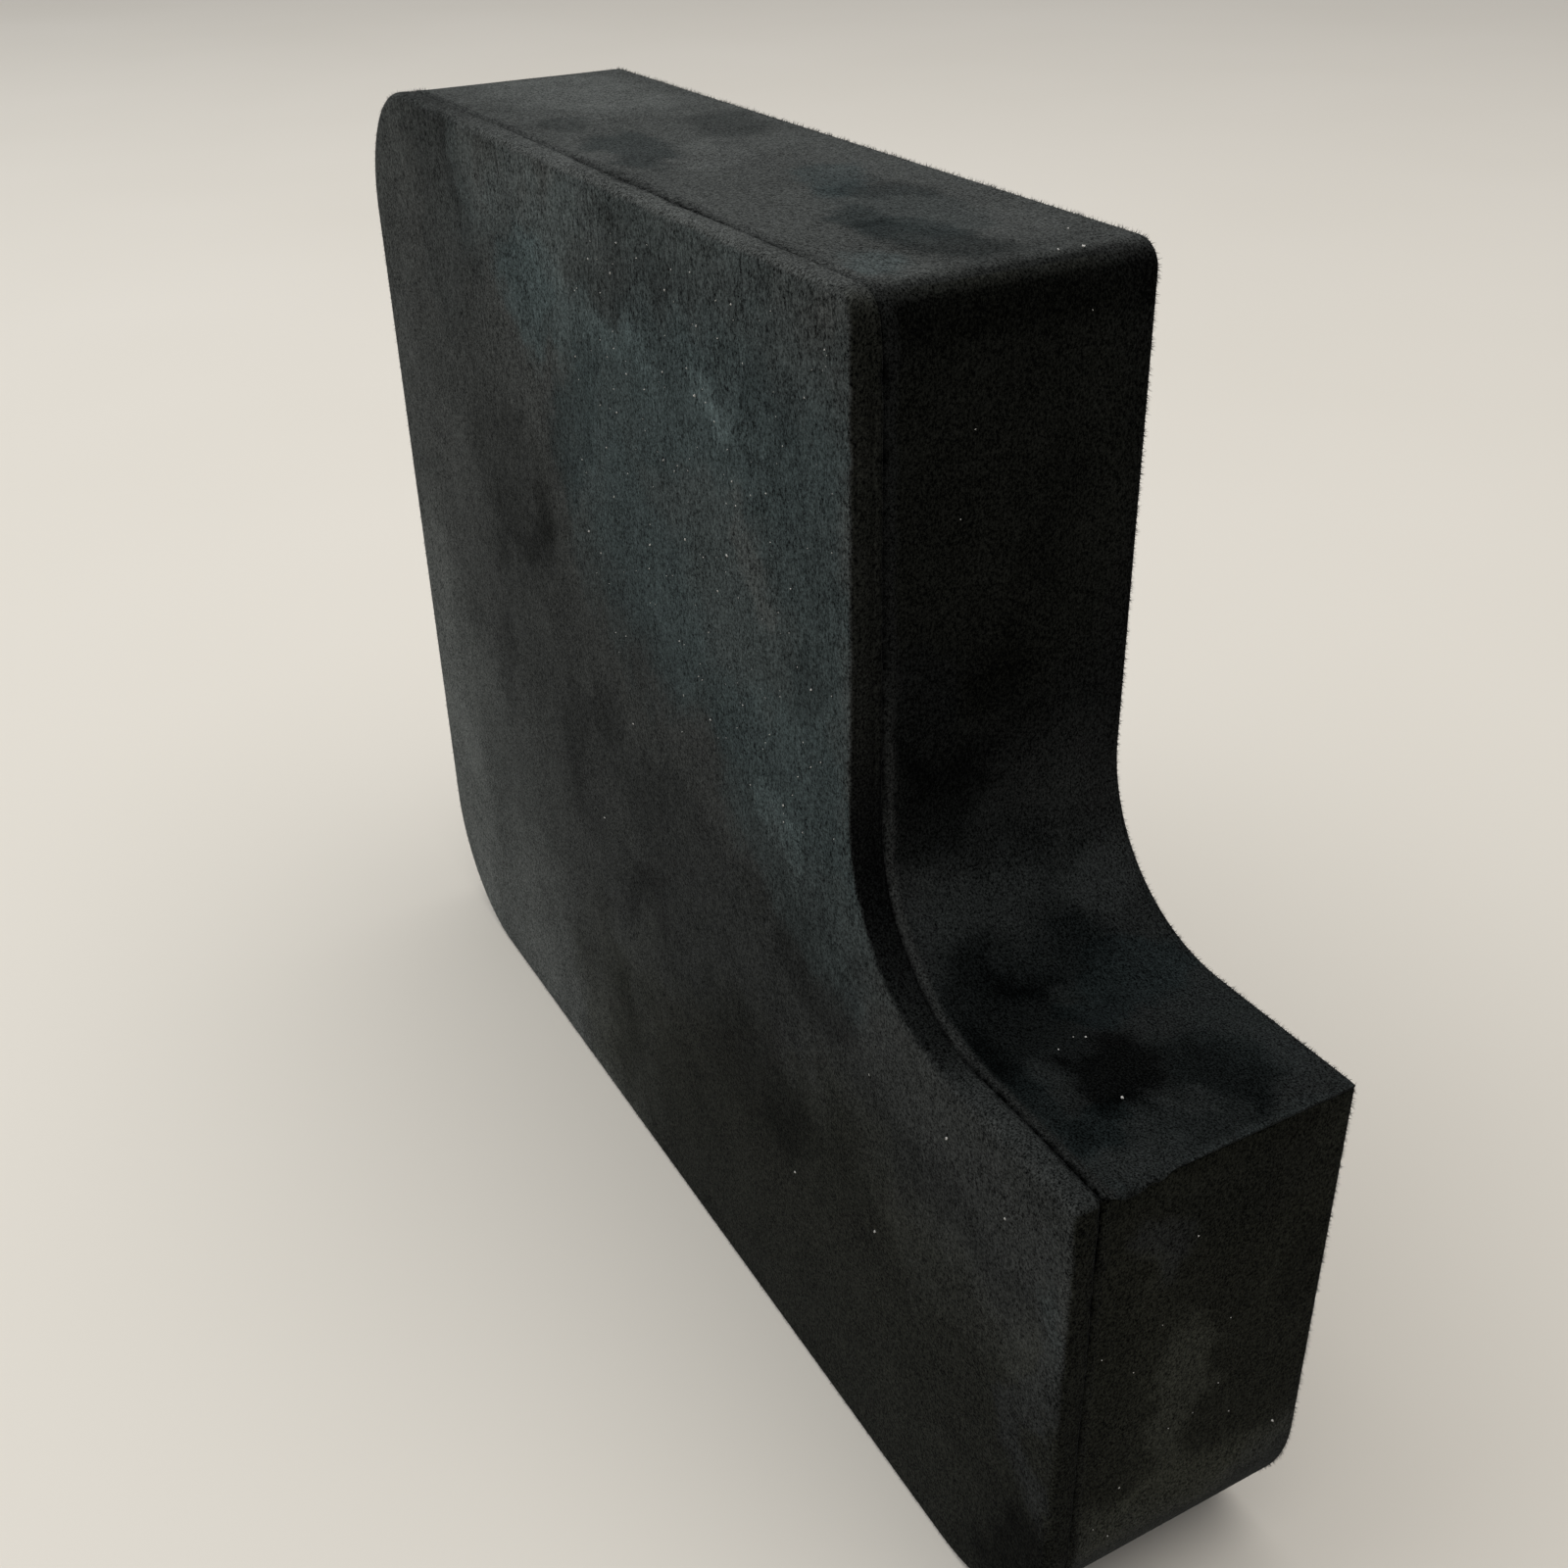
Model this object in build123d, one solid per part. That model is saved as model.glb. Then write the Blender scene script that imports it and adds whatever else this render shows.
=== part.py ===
from build123d import *
import os

# Foam block with a stepped end, covered in suede cloth.
# X runs along the block, with the step at +X. Y runs through its thickness, with the front at -Y.
# Z is up, and the origin is on the floor, under the middle of the block.

# Foam
foam_length = 265.6
foam_height = 211.2
foam_thickness = 50.0
step_height = 101.9
step_depth = 58.8
cove_radius = 29.5
upper_left_radius = 28.1
lower_left_radius = 30.3
lower_right_radius = 28.1
upper_right_radius = 3.8
step_edge_radius = 0

# Cloth
cloth_thickness = 0.6
turn_in_width = 5.0
fold_radius = 1.0
seam_roll_radius = 0.4
band_joint_gap = 0.15

# Places of the foam and of the cloth on it
foam_bottom = cloth_thickness
foam_right = foam_length / 2
foam_step = foam_bottom + step_height
foam_face = foam_thickness / 2
cover_face = foam_face + cloth_thickness
seam_line = cover_face - turn_in_width
rear_seam_grow = cloth_thickness - turn_in_width


def side_outline(grow):
    """Face of the foam's side outline, with every edge moved outwards by grow."""
    left = -foam_length / 2 - grow
    right = foam_right + grow
    tall_end = foam_right - step_depth + grow
    bottom = foam_bottom - grow
    step_top = foam_step + grow
    top = foam_bottom + foam_height + grow
    corners = [
        ((left, bottom), lower_left_radius + grow),
        ((right, bottom), lower_right_radius + grow),
        ((right, step_top), step_edge_radius),
        ((tall_end, step_top), cove_radius - grow),
        ((tall_end, top), max(upper_right_radius + grow, 0)),
        ((left, top), upper_left_radius + grow),
    ]
    points = [point for point, radius in corners]
    radii = [radius for point, radius in corners]
    return make_face(FilletPolyline(*points, radius=radii, close=True))


def slab(outline, front, back):
    """Solid of an outline that runs through the thickness from y = front to y = back."""
    return extrude(Plane.XZ.offset(-front) * outline, amount=front - back)


def roll_front(cloth, radius):
    """Round the edges of the face that is foremost in the thickness."""
    return fillet(cloth.faces().sort_by(Axis.Y)[0].outer_wire().edges(), radius)


def roll_back(cloth, radius):
    """Round the edges of the face that is rearmost in the thickness."""
    return fillet(cloth.faces().sort_by(Axis.Y)[-1].outer_wire().edges(), radius)


def make_foam_core():
    return slab(side_outline(0), -foam_face, foam_face)


def make_front_cover():
    """Face cloth whose margin is turned over the front edge and meets the band at the seam."""
    cloth = slab(side_outline(cloth_thickness), -cover_face, -seam_line)
    cloth = roll_front(cloth, fold_radius)
    cloth = roll_back(cloth, seam_roll_radius)
    return cloth - slab(side_outline(0), -foam_face, -seam_line)


def make_edge_band():
    """Strip of cloth round the foam, from the front seam over the rear edge onto the back.
    Its upper end lies over its lower end at the step's outer edge."""
    cloth = slab(side_outline(cloth_thickness), -seam_line, cover_face)
    cloth = roll_front(cloth, seam_roll_radius)
    cloth = roll_back(cloth, fold_radius)
    cloth = cloth - slab(side_outline(0), -seam_line, foam_face)
    cloth = cloth - slab(side_outline(rear_seam_grow), foam_face, cover_face)
    joint = Box(
        cloth_thickness,
        seam_line + foam_face,
        band_joint_gap,
        align=(Align.MIN, Align.MIN, Align.MAX),
    )
    return cloth - Pos(foam_right, -seam_line, foam_step) * joint


def make_rear_cover():
    """Flat cloth on the back, which meets the band's turned margin edge to edge."""
    return roll_back(slab(side_outline(rear_seam_grow), foam_face, cover_face), seam_roll_radius)


nodes = {
    "foam_core": make_foam_core(),
    "edge_band": make_edge_band(),
    "front_cover": make_front_cover(),
    "rear_cover": make_rear_cover(),
}

os.makedirs("parts", exist_ok=True)
for name, solid in nodes.items():
    export_step(solid, f"parts/{name}.step")
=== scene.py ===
import math
from collections import namedtuple

import bmesh
import bpy
import numpy as np
from mathutils import Matrix, Vector, noise
from mathutils.geometry import delaunay_2d_cdt


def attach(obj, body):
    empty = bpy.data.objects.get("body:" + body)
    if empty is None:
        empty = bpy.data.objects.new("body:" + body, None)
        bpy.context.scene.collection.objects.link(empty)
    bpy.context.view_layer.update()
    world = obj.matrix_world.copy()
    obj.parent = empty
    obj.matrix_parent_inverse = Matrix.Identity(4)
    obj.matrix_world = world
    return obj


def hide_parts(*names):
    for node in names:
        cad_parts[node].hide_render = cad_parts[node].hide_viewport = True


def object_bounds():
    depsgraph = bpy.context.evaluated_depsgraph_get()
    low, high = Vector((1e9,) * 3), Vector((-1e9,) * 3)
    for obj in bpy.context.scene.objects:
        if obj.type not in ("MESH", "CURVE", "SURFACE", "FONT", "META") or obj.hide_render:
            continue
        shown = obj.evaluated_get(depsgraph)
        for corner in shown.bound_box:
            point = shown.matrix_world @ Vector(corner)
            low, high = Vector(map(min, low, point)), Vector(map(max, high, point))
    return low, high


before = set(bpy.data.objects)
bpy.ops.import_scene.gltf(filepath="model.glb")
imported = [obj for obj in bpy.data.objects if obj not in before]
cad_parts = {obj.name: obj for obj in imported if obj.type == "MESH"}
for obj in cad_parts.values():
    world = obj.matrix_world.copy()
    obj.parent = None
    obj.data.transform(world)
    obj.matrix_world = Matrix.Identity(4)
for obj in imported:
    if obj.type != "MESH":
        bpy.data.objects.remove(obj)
cad_low, cad_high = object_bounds()

MM = 0.001

# Side outline of the cloth's outer surface, as in the CAD
LEFT = cad_low.x
RIGHT = cad_high.x
BOTTOM = cad_low.z
TOP = cad_high.z
STEP_TOP = 103.1 * MM
TALL_END = 74.6 * MM
LOWER_RIGHT_RADIUS = 28.7 * MM
LOWER_LEFT_RADIUS = 30.9 * MM
UPPER_LEFT_RADIUS = 28.7 * MM
UPPER_RIGHT_RADIUS = 4.4 * MM
COVE_RADIUS = 28.9 * MM

# Cloth
FACE = cad_high.y
CLOTH_THICKNESS = 0.6 * MM
FOLD_RADIUS = 1.3 * MM
COVER_STEP_RADIUS = 1.6 * MM
REAR_MARGIN = 5.0 * MM
REAR_STEP_RADIUS = 0.8 * MM
JOINT_GAP = 0.15 * MM
OVERHANG_RADIUS = 0.7 * MM
OUTLINE_SPACING = 1.5 * MM
ARC_STEP = math.radians(6)
FACE_SPACING = 1.3 * MM
CLEAR_OF_RING = 0.75 * FACE_SPACING

# Distances along the outline, clockwise from the step's outer edge, in mm
LOW_END_FOOT = 110
TOP_START = 573
TOP_FINISH = 751
OUTLINE_LENGTH = 906.2

# Width of the turned front margin, by the distance along the outline, both in mm
MARGIN_WIDTHS = [
    (0, 4.4), (74, 4.4), (119, 4.6), (327, 4.8), (528, 4.6), (573, 4.4), (700, 4.4), (748, 4.6),
    (760, 5.4), (785, 5.5), (810, 5.6), (831, 5.7), (850, 5.1), (876, 4.5), (907, 4.4),
]
# How far the front seam stands open, as a share of the cloth's own roll
SEAM_OPENINGS = [
    (0, 0.9), (40, 0.7), (74, 0.8), (573, 0.8), (640, 0.9), (662, 1.5), (695, 1.5), (712, 0.9),
    (745, 0.8), (760, 1.4), (831, 1.2), (850, 0.9), (907, 0.9),
]
REAR_OPENING = 0.5
NARROWEST_SEAM = 0.3
# How deep the front seam's valley is, as a share of the cloth's own roll
SEAM_DEPTHS = [
    (0, 0.7), (40, 0.4), (119, 0.6), (528, 0.5), (573, 0.12), (640, 0.16), (660, 0.6), (695, 0.65), (712, 0.35),
    (742, 0.25), (752, 0.2), (762, 0.5), (831, 0.45), (862, 0.45), (880, 0.75), (907, 0.8),
]
REAR_DEPTH = 0.6
SHALLOWEST_SEAM = 0.1
# Height of the band's rolled lip at the front seam, in mm
LIP_HEIGHTS = [
    (0, 0.08), (100, 0.05), (573, 0.05), (748, 0.08), (760, 0.16), (831, 0.22), (876, 0.20), (907, 0.10),
]
# Radius of the front cover's fold, in mm
FOLD_RADII = [
    (0, 1.2), (60, 1.2), (119, 1.3), (573, 1.5), (745, 1.5), (756, 0.8), (840, 0.9), (860, 1.6),
    (878, 2.6), (899, 2.6), (907, 1.4),
]
# How far round the fold the margin's own tone runs on, and how softly it ends, as shares of the fold
FOLD_WRAPS = [
    (0, 0.25), (119, 0.1), (540, 0.0), (600, 0.1), (620, 0.5), (745, 0.4), (754, 0.3), (800, 0.35), (831, 0.55),
    (855, 0.55), (880, 0.3), (907, 0.2),
]
FOLD_BLUR = 0.5
# Lightness of the band's lip, of the margin beside it and of the band behind it, with painted light and shade in
# them. The lip is lighter than the band on the tall end and the cove, partly as a painted highlight.
LIP_TONES = [
    (0, 0.22), (573, 0.9), (745, 0.9), (754, 0.18), (800, 0.2), (825, 0.4), (845, 0.55), (862, 0.44), (880, 0.30),
    (907, 0.28),
]
# Painted shade darkens the margin on the tall end and the cove, and a painted highlight lightens it along the top's
# fold
MARGIN_TONES = [
    (0, 0.19), (74, 0.2), (119, 0.4), (540, 0.7), (573, 0.7), (600, 0.85), (620, 1.25), (690, 1.2), (745, 1.05),
    (749, 0.7), (752, 0.23), (800, 0.22), (840, 0.08), (866, 0.14), (880, 0.42), (907, 0.44),
]
# Painted light makes the band's top light, and painted shade makes its tall end, cove and low end dark
BAND_TONES = [
    (0, 0.22), (60, 0.24), (95, 0.46), (327, 0.5), (528, 0.75), (573, 1.1), (640, 1.02), (748, 0.95), (749.3, 0.75),
    (750.5, 0.38), (752, 0.2), (753.2, 0.075), (757, 0.07), (762, 0.12), (800, 0.13), (815, 0.11), (842, 0.26),
    (870, 0.27),
]
# How cool the margin and the lip are; below zero they are warmer, which on the low end is partly the nap's own
# colour and partly painted warm light bounced from the floor
MARGIN_COOLS = [(0, -0.5), (110, -0.4), (130, 0.0), (745, 0.0), (753, -0.4), (815, -0.3), (840, 0.3), (907, 0.2)]
LIP_COOLS = MARGIN_COOLS[:3]
# How far the seam's painted shade runs on over the margin
MARGIN_SHADES = [(0, 0.25), (748, 0.25), (760, 0.7), (831, 0.6), (850, 0.25)]
# How far the band's upper end runs on past the step's outer edge, by y, in mm
OVERHANGS = [
    (-21, 0.45), (-17.5, 1.65), (-12, 1.0), (-7.7, 0.37), (0, 0.15), (10, 0.2), (18, 0.08), (25.6, 0.02),
]
SHORTEST_OVERHANG = 0.05
STEEPEST_DROOP = math.radians(82)

# Layers of noise, as (strength, size in mm, seed). The margin's and the reliefs' strengths are in mm.
MARGIN_WOBBLE = [(0.22, 14, 3.7), (0.088, 3, 8.1)]
OPENING_WOBBLE = [(0.5, 7, 5.5), (0.3, 2.5, 6.5)]
DEPTH_WOBBLE = [(1.0, 6, 9.5), (0.8, 1.9, 10.5)]
LIP_RIPPLE = [(0.6, 5, 4.4)]
FOLD_RAGS = [(0.25, 3, 12.1)]
OVERHANG_RAGS = [(0.5, 4, 7.7), (0.45, 1.7, 2.2)]
MARGIN_RELIEF = [(0.04, 6, 2.0)]
BAND_RELIEF = [(0.06, 16, 9.3)]
FRONT_RELIEF = [(0.11, 34, 1.3), (0.05, 9, 5.2)]
REAR_RELIEF = [(0.11, 34, 2.9), (0.05, 9, 11.6)]
# Distance from a face's edge over which its relief fades in
RELIEF_FADE = 6 * MM

# Wear of the nap at folds and edges, from 0 to 1
SEAM_WEAR = 0.45
BAND_SEAM_WEAR = 0.5
LIP_WEAR = 0.6
MARGIN_WEAR = 0.2
FRONT_FOLD_WEAR = 0.4
FRONT_EDGE_WEAR = 0.5
REAR_EDGE_WEAR = 0.4
REAR_FOLD_WEAR = 0.6
REAR_MARGIN_WEAR = 0.3
CUT_WEAR = 0.4
OVERHANG_WEAR = 0.25
OVERHANG_WEAR_RISE = 0.6
EDGE_WEAR_REACH = 1.5 * MM

# Camera, as fitted to the photograph
CAMERA_PLACE = (0.26788, -0.14036, 0.27406)
CAMERA_AZIMUTH = math.radians(61.83)
CAMERA_ELEVATION = math.radians(30.84)
CAMERA_ROLL = math.radians(-1.51)
SENSOR_WIDTH = 36.0
FOCAL_LENGTH = 40.37
CLIP_START = 0.01


# Outline

class Station(namedtuple("Station", "distance x z normal_x normal_z")):
    """A place on the side outline: distance along it, position and outward normal."""

    def point(self, depth, y):
        """The point at y that lies depth under the outline."""
        return (self.x - depth * self.normal_x, y, self.z - depth * self.normal_z)

    def value(self, table):
        """The value here of a table by the distance along the outline."""
        return table_value(table, self.distance / MM)

    def waves(self, layers, y=0.0):
        """The sum here of layers of noise."""
        return waves(self.x, y, self.z, layers)


def trace_outline(step_edge_radius, inset=0.0):
    """Stations round the outline, clockwise from the front, from the step's outer edge back to it."""
    sharpest = 0.6 * MM
    corners = [
        (RIGHT - inset, STEP_TOP - inset, step_edge_radius),
        (RIGHT - inset, BOTTOM + inset, LOWER_RIGHT_RADIUS - inset),
        (LEFT + inset, BOTTOM + inset, LOWER_LEFT_RADIUS - inset),
        (LEFT + inset, TOP - inset, UPPER_LEFT_RADIUS - inset),
        (TALL_END - inset, TOP - inset, max(UPPER_RIGHT_RADIUS - inset, sharpest)),
        (TALL_END - inset, STEP_TOP - inset, COVE_RADIUS + inset),
    ]
    corners += corners[:2]
    stations = []
    distance = 0.0
    for (x0, z0, r0), (x1, z1, r1), (x2, z2, _) in zip(corners, corners[1:], corners[2:]):
        come = Vector((x1 - x0, z1 - z0))
        length = come.length - r0 - r1
        come.normalize()
        go = Vector((x2 - x1, z2 - z1)).normalized()
        start = Vector((x0, z0)) + come * r0
        count = max(1, round(length / OUTLINE_SPACING))
        for i in range(count):
            place = start + come * (length * i / count)
            stations.append(Station(distance + length * i / count, place.x, place.y, -come.y, come.x))
        distance += length
        centre = Vector((x1, z1)) - come * r1 + go * r1
        arc_count = 1
        if r1 > 0:
            arc_count = max(6, round(math.pi / 2 / min(ARC_STEP, OUTLINE_SPACING / r1)))
        for i in range(arc_count):
            angle = math.pi / 2 * i / arc_count
            place = centre + (come * math.sin(angle) - go * math.cos(angle)) * r1
            along = come * math.cos(angle) + go * math.sin(angle)
            stations.append(Station(distance + r1 * angle, place.x, place.y, -along.y, along.x))
        distance += r1 * math.pi / 2
    return stations


def table_value(table, place):
    """Smooth value between the entries of a table of (place, value)."""
    if place <= table[0][0]:
        return table[0][1]
    for (a, value_a), (b, value_b) in zip(table, table[1:]):
        if place <= b:
            share = (place - a) / (b - a)
            share = share * share * (3 - 2 * share)
            return value_a + (value_b - value_a) * share
    return table[-1][1]


def table_values(table, places):
    """Values of a table in mm at places in metres."""
    return np.array([table_value(table, place / MM) for place in places])


def waves(x, y, z, layers):
    """Sum of layers of smooth noise, each from about -strength to strength."""
    total = 0.0
    for strength, size, seed in layers:
        size *= MM
        total += strength * noise.noise(Vector((x / size + seed, y / size - seed, z / size + 0.5 * seed)))
    return total


def seam_y(station):
    """The front seam's y."""
    return -(FACE - station.value(MARGIN_WIDTHS) * MM + station.waves(MARGIN_WOBBLE) * MM)


def seam_opening(station):
    """How far the front seam stands open, as a share of the cloth's own roll."""
    return max(NARROWEST_SEAM, station.value(SEAM_OPENINGS) * (1 + station.waves(OPENING_WOBBLE)))


def seam_depth(station):
    """How deep the front seam's valley is, as a share of the cloth's own roll."""
    return min(1.0, max(SHALLOWEST_SEAM, station.value(SEAM_DEPTHS) * (1 + station.waves(DEPTH_WOBBLE))))


# Nap: strokes where the pile lies another way, as (across, up, half length, half width, turn, light, cool),
# in mm and degrees. light is added to the cloth's own tone, cool turns it bluer. A few strokes are painted light
# and painted shade instead, as marked.

COVER_TONE = 0.95
# How strong the back's strokes are, beside the front's
REAR_CONTRAST = 0.5
# Reach of the nap's combed teeth at the strokes' edges
COMB_REACH = 9 * MM
# How strongly the front's nap is combed, by the height in mm
COMBED = [(0, 0.3), (90, 0.35), (150, 0.7), (212, 1.0)]
# How far the strokes' edges are bent into clouds, and the size of the clouds, in mm
FRONT_CLOUDS = (10, 20)
BAND_CLOUDS = (4.4, 9)
CLOUD_SEEDS = (17.3, 48.9)
# Width of the strokes' edges, as a share of their size
FRONT_BLUR = 0.7
BAND_BLUR = 0.6
# The front's, in x and z
FRONT_STROKES = [
    (8, 196, 80, 22, 0, 0, 0.5), (36, 160, 56, 36, -8, 0, 0.6), (56, 120, 28, 20, -30, -0.05, 0.6),
    # The long stroke at (80, 22) darkens and warms the front's lower right: painted shade
    (-12, 100, 84, 41, -14, -0.3, 0), (-62, 143, 20, 18, -20, -0.26, -0.05), (80, 22, 110, 54, 4, -0.66, -0.45),
    (104, 92, 36, 18, 0, -0.34, 0.05), (64, 97, 12, 14, 0, -0.26, 0), (58, 150, 12, 9, 0, -0.16, 0),
    (-85, 160, 30, 14, 0, -0.14, 0), (108, 64, 16, 12, 0, 0.09, 0.1), (122, 22, 14, 20, 0, -0.07, 0),
    (131, 14, 12, 22, 0, -0.13, 0), (20, 92, 44, 14, -6, -0.2, 0.1), (6, 72, 14, 10, 0, -0.13, 0),
    (-48, 66, 36, 13, 0, -0.16, 0), (-36, 30, 18, 30, 0, -0.25, -0.15), (-6, 146, 32, 22, -28, 0, 0.45),
    # The strokes at (-150, 55) and (-84, -12) lighten the front's lower left and bottom: painted light bounced from
    # the floor
    (-150, 55, 44, 75, 0, 0.7, 0), (-84, -12, 62, 42, 0, 0.5, 0), (-30, 205, 28, 10, 0, 0.36, 0),
    (52, 194, 9, 9, 0, -0.22, 0), (-96, 60, 36, 44, 0, 0.1, 0.1), (-80, 36, 36, 15, -10, 0.1, 0),
    (-85, 193, 18, 24, 0, -0.2, 0.2), (-46, 186, 14, 13, 0, 0.22, 0.6), (-32, 191, 12, 9, 0, 0.22, 0.2),
    (-5, 187, 17, 5, 0, 0.28, 0.1), (-64, 203, 9, 7, 0, 0.14, 0.1), (-80, 206, 4.5, 8, 5, -0.24, 0),
    (-6, 202, 12, 8, 0, -0.34, -0.1), (20, 205, 10, 4, 6, -0.24, 0), (32, 184, 8, 4.5, 8, 0.48, 0),
    (-26, 167, 16, 8, 45, -0.22, 0.4), (-43, 148, 17, 8, 42, -0.18, -0.1), (-62, 131, 15, 5.5, 38, -0.1, 0),
    (44, 168, 6, 7, 0, 0.16, -0.25), (66, 165, 10, 48, 0, -0.14, 0.2), (51, 120, 9.5, 5, -18, 0.4, 0.1),
    (-77, 95, 20, 6, 70, -0.2, 0), (-33, 96, 20, 7, 59, -0.18, 0), (-58, 106, 12, 8, 20, 0.06, 0),
    (-6, 71, 15, 5, 45, -0.18, 0), (52, 61, 20, 7, 51, -0.06, 0), (129, 62, 5, 26, 0, 0.1, 0.5),
]
# The top's, in x and y
TOP_STROKES = [
    (-82, 5, 30, 15, 0, 0.36, 0), (-36, 14, 14, 6.5, -18, -0.28, 0.2), (66, 6, 9, 14, 0, -0.14, 0),
    (-54, -9, 9, 4.5, -30, -0.28, 0.2), (-26, -10, 17, 6.5, -12, -0.4, 0.4), (-12, -1, 15, 4.5, -28, 0.24, 0),
    (14, 8, 12, 6, -25, -0.1, 0.5), (38, 4, 20, 11, 0, -0.16, 0.3), (27, 11, 8, 5, 30, -0.24, 0.1),
    (40, -3, 9, 4.5, -20, -0.24, 0.2), (57, 0, 14, 6.5, 10, -0.36, 0.3), (52, 15, 17, 4, 0, 0.06, 0),
    (63, -14, 8, 5.5, 0, 0.14, 0.5),
]
# The tall end's, the cove's and the step's, in y and the distance down from the top
STEP_STROKES = [
    (0, 32, 30, 40, 0, 0, -0.35), (0, 125, 40, 40, 0, 0, 0.35), (18, 45, 7, 40, 0, 0.02, 0),
    (11, 40, 6, 12, 0, -0.03, 0), (1, 61, 6, 6, 0, -0.04, 0), (-14, 62, 9, 9, 0, 0, 0.3),
    (-10, 80, 11, 9, 0, -0.12, 0.1), (13, 80, 7, 7, 0, 0.05, 0), (0, 92, 7, 4, 0, -0.09, 0),
    (-7, 96, 13, 7, 0, 0.1, 0), (16, 101, 8, 5.5, 0, 0.12, 0), (-12, 118, 12.5, 12.5, 0, -0.17, 0.1),
    (-20, 128, 6, 9, 0, -0.07, 0.2), (7.4, 112.5, 8, 6, 0, -0.05, 0.1), (14, 118, 10, 7, 0, 0, 0.8),
    (4, 122.5, 6, 4.5, 0, -0.09, 0.8), (-3, 135, 10, 7, -30, -0.21, -0.1), (-19, 140, 5, 12, 0, -0.08, 0.3),
    (-14, 143, 6, 4.5, -20, -0.08, 0.8), (0, 111, 11, 5, 0, -0.07, 0.1), (20, 135, 7, 16, 0, 0.06, 0.1),
    (11, 142.5, 7, 9, 0, -0.15, 0.2), (-6, 145, 6, 4, 0, -0.1, 0.1), (-10, 150, 11, 4, 0, 0.06, 0),
    (2, 151, 9, 3, 0, -0.09, 0.1), (0, 156.2, 32, 1.4, 0, 0.08, 0.2),
]
# The low end's, in y and z
LOW_STROKES = [
    # The first stroke warms the whole low end: partly the nap's own colour and partly painted warm light bounced
    # from the floor
    (0, 70, 40, 50, 0, 0, -0.6), (-8.5, 87, 7, 5, -48, 0.12, 0.4), (-9, 60, 4, 34, 0, 0.05, 0),
    (20, 69, 4, 9, 0, -0.05, 0), (0, 101, 30, 2, 0, -0.06, 0), (-14, 76, 7, 13, 0, 0, -0.1),
    (-2, 54, 5.5, 18, 0, 0.26, 0.1), (16, 75, 5, 11, 0, 0, -0.1), (5, 92, 18, 7, 0, -0.03, 0.1),
    (0, 28.5, 26, 7, 0, 0.24, 0),
]


def stroke_field(across, up, strokes, blur):
    """Sum of the strokes' lightness and coolness at points given in metres. blur is the width of their edges."""
    total = np.zeros((2, len(across)))
    for x, z, half_length, half_width, turn, *looks in strokes:
        c, s = math.cos(math.radians(turn)), math.sin(math.radians(turn))
        dx, dz = across / MM - x, up / MM - z
        reach = np.sqrt(((c * dx + s * dz) / half_length) ** 2 + ((c * dz - s * dx) / half_width) ** 2)
        share = np.clip((1 + blur / 2 - reach) / blur, 0, 1)
        share = share * share * (3 - 2 * share)
        total += np.outer(looks, share)
    return total


def clouds(places, reach, size):
    """Two offsets for each place, which bend the strokes' edges into clouds."""
    layers = [[(1.0, size, seed), (0.5, size / 3, seed + 5), (0.3, size / 8, seed)] for seed in CLOUD_SEEDS]
    offsets = [[waves(x, y, z, each) for each in layers] for x, y, z in places]
    return reach * MM * np.array(offsets).T


# Meshes

class Cloth:
    """Points and faces of a cloth, with its wear, painted seam shade and own tone at each point."""

    def __init__(self):
        self.points, self.faces, self.looks = [], [], []

    def add(self, point, wear=0.0, crevice=0.0, own_tone=0.0, tone_share=0.0):
        """One point. own_tone replaces the strokes' tone by tone_share."""
        self.points.append(point)
        self.looks.append((wear, crevice, own_tone, tone_share))

    def close_rings(self, rows, count):
        """Faces between rows of count points that run round in a ring."""
        for row in range(rows - 1):
            for i in range(count):
                j = (i + 1) % count
                self.faces.append((row * count + i, row * count + j, (row + 1) * count + j, (row + 1) * count + i))

    def cap(self, start, count, turned, inner_points=()):
        """Faces over the ring of count points from start, and over points inside it that follow the ring."""
        for face in triangulate_face(flat_places(self.points[start:start + count]), inner_points):
            self.faces.append(tuple(start + i for i in (reversed(face) if turned else face)))

    def fill_face(self, start, side, relief, edge_wear):
        """Face over the last ring, which begins at start. side is -1 at the front and 1 at the back."""
        ring = flat_places(self.points[start:])
        inner_points, distance = face_points(ring)
        for (x, z), gap in zip(inner_points, distance):
            proud = min(1.0, gap / RELIEF_FADE) * waves(x, 0, z, relief) * MM
            self.add((x, side * (FACE + proud), z), edge_wear * math.exp(-gap / EDGE_WEAR_REACH))
        self.cap(start, len(ring), side > 0, inner_points)

    def finish(self, name, material, light, cool, own_cool=0.0, slope=None, combed=None):
        """The piece, with its nap in attributes of its points. own_cool goes with own_tone."""
        wear, crevice, own_tone, share = np.array(self.looks).T
        attributes = {
            "tone": np.maximum(light, 0) * (1 - share) + own_tone * share,
            "cool": cool * (1 - share) + own_cool * share,
            "wear": wear,
            "crevice": crevice,
        }
        if slope is not None:
            attributes["slope"] = slope * (1 - share)
            attributes["combed"] = combed * (1 - share)
        return new_piece(name, self.points, self.faces, material, attributes)


def new_piece(name, points, faces, material, attributes=None):
    """A smooth-shaded mesh object with named float attributes on its points."""
    mesh = bpy.data.meshes.new(name)
    mesh.from_pydata(points, [], faces)
    mesh.validate()
    for attribute_name, values in (attributes or {}).items():
        attribute = mesh.attributes.new(attribute_name, "FLOAT", "POINT")
        attribute.data.foreach_set("value", np.asarray(values, dtype=np.float32))
    mesh.polygons.foreach_set("use_smooth", [True] * len(mesh.polygons))
    mesh.materials.append(material)
    piece = bpy.data.objects.new(name, mesh)
    bpy.context.collection.objects.link(piece)
    return piece


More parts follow.
